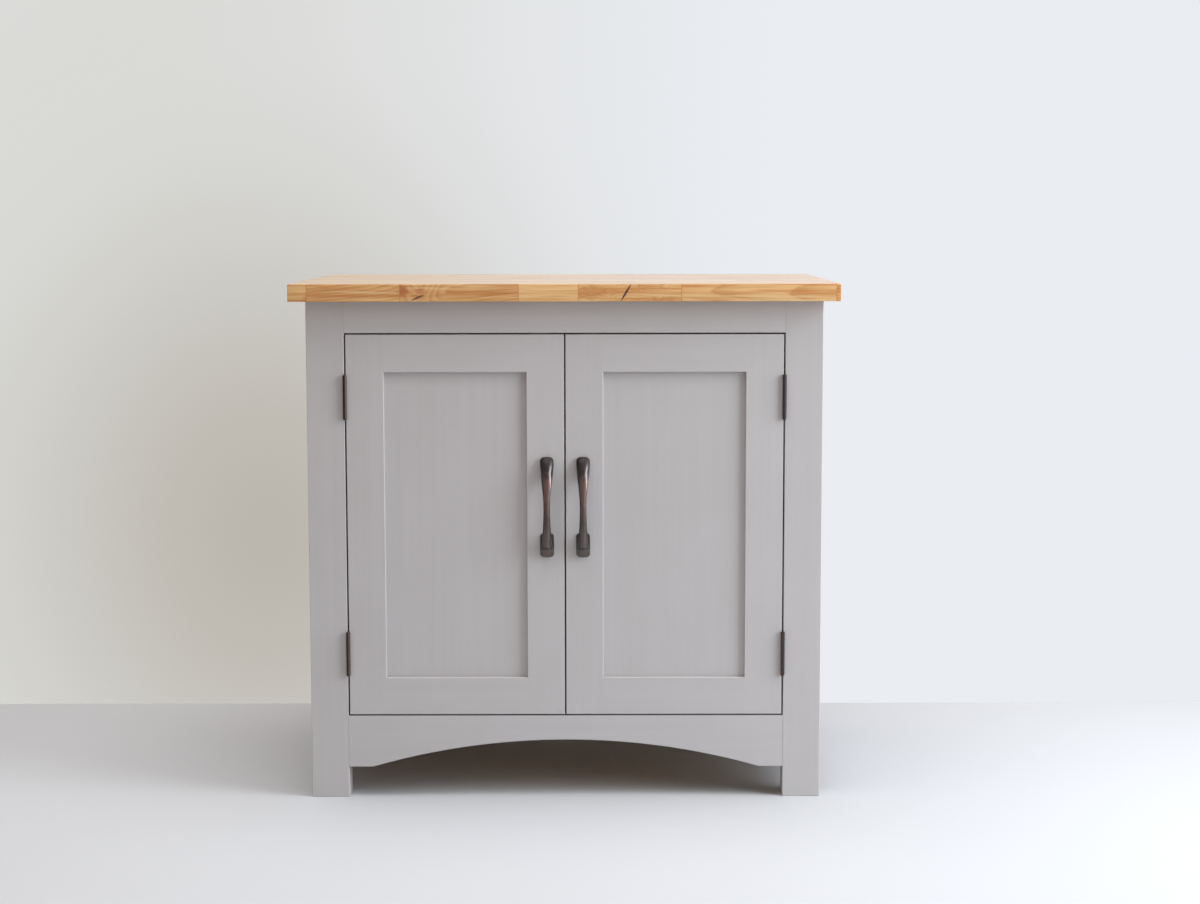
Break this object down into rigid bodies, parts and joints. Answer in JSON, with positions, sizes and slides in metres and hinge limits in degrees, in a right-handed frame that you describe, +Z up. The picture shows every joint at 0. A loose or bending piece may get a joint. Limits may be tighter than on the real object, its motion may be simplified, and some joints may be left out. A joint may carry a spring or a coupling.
{
  "type": "sideboard",
  "caption": "Free-standing base cupboard with a solid timber worktop, inset panelled doors on butt hinges, bow handles, an inner shelf and an arched front rail.",
  "frame": {"origin": "floor level, under the middle of the worktop", "axes": "+Z up, -Y to the front where the doors are, +X to the viewer's right"},
  "size_m": [0.943, 0.62, 0.9],
  "materials": {
    "painted_timber": "brushed satin paint, light warm grey",
    "worktop_timber": "oiled stave timber",
    "bare_timber": "planed, unfinished",
    "handle_bronze": "dark antique bronze, lightly worn",
    "hinge_steel": "antique brown plated steel",
    "bright_steel": "zinc plated",
    "catch_plastic": "moulded brown plastic",
    "magnet": "dull sintered magnet"
  },
  "bodies": {
    "carcass": {"back_board_screws": "bright_steel", "back_boards": "painted_timber", "button_screws": "bright_steel", "catch_housings": "catch_plastic", "catch_magnets": "magnet", "catch_screws": "bright_steel", "cleat_screws": "bright_steel", "cupboard_floor": "painted_timber", "floor_cleats": "bare_timber", "frame_hinge_screws": "hinge_steel", "front_arched_rail": "painted_timber", "front_top_rail": "painted_timber", "left_front_leg": "painted_timber", "left_hinge_pins": "hinge_steel", "left_lower_frame_leaf": "hinge_steel", "left_rear_leg": "painted_timber", "left_side_bottom_rail": "painted_timber", "left_side_panel": "painted_timber", "left_side_top_rail": "painted_timber", "left_upper_frame_leaf": "hinge_steel", "rear_bottom_rail": "painted_timber", "rear_top_rail": "painted_timber", "right_front_leg": "painted_timber", "right_hinge_pins": "hinge_steel", "right_lower_frame_leaf": "hinge_steel", "right_rear_leg": "painted_timber", "right_side_bottom_rail": "painted_timber", "right_side_panel": "painted_timber", "right_side_top_rail": "painted_timber", "right_upper_frame_leaf": "hinge_steel", "shelf": "painted_timber", "shelf_bearers": "painted_timber", "worktop": "worktop_timber", "worktop_buttons": "bare_timber"},
    "left_door": {"left_door_bottom_rail": "painted_timber", "left_door_hinge_screws": "hinge_steel", "left_door_hinge_stile": "painted_timber", "left_door_meeting_stile": "painted_timber", "left_door_panel": "painted_timber", "left_door_top_rail": "painted_timber", "left_handle": "handle_bronze", "left_handle_bolts": "bright_steel", "left_lower_door_leaf": "hinge_steel", "left_strike_plate": "bright_steel", "left_strike_screw": "bright_steel", "left_upper_door_leaf": "hinge_steel"},
    "right_door": {"right_door_bottom_rail": "painted_timber", "right_door_hinge_screws": "hinge_steel", "right_door_hinge_stile": "painted_timber", "right_door_meeting_stile": "painted_timber", "right_door_panel": "painted_timber", "right_door_top_rail": "painted_timber", "right_handle": "handle_bronze", "right_handle_bolts": "bright_steel", "right_lower_door_leaf": "hinge_steel", "right_strike_plate": "bright_steel", "right_strike_screw": "bright_steel", "right_upper_door_leaf": "hinge_steel"}
  },
  "joints": [
    {"name": "left_door_hinge", "type": "hinge", "parent": "carcass", "child": "left_door", "pos_m": [-0.3787, -0.2838, 0.48], "axis": [0, 0, -1], "range_deg": [0, 180]},
    {"name": "right_door_hinge", "type": "hinge", "parent": "carcass", "child": "right_door", "pos_m": [0.3787, -0.2838, 0.48], "axis": [0, 0, 1], "range_deg": [0, 180]}
  ]
}
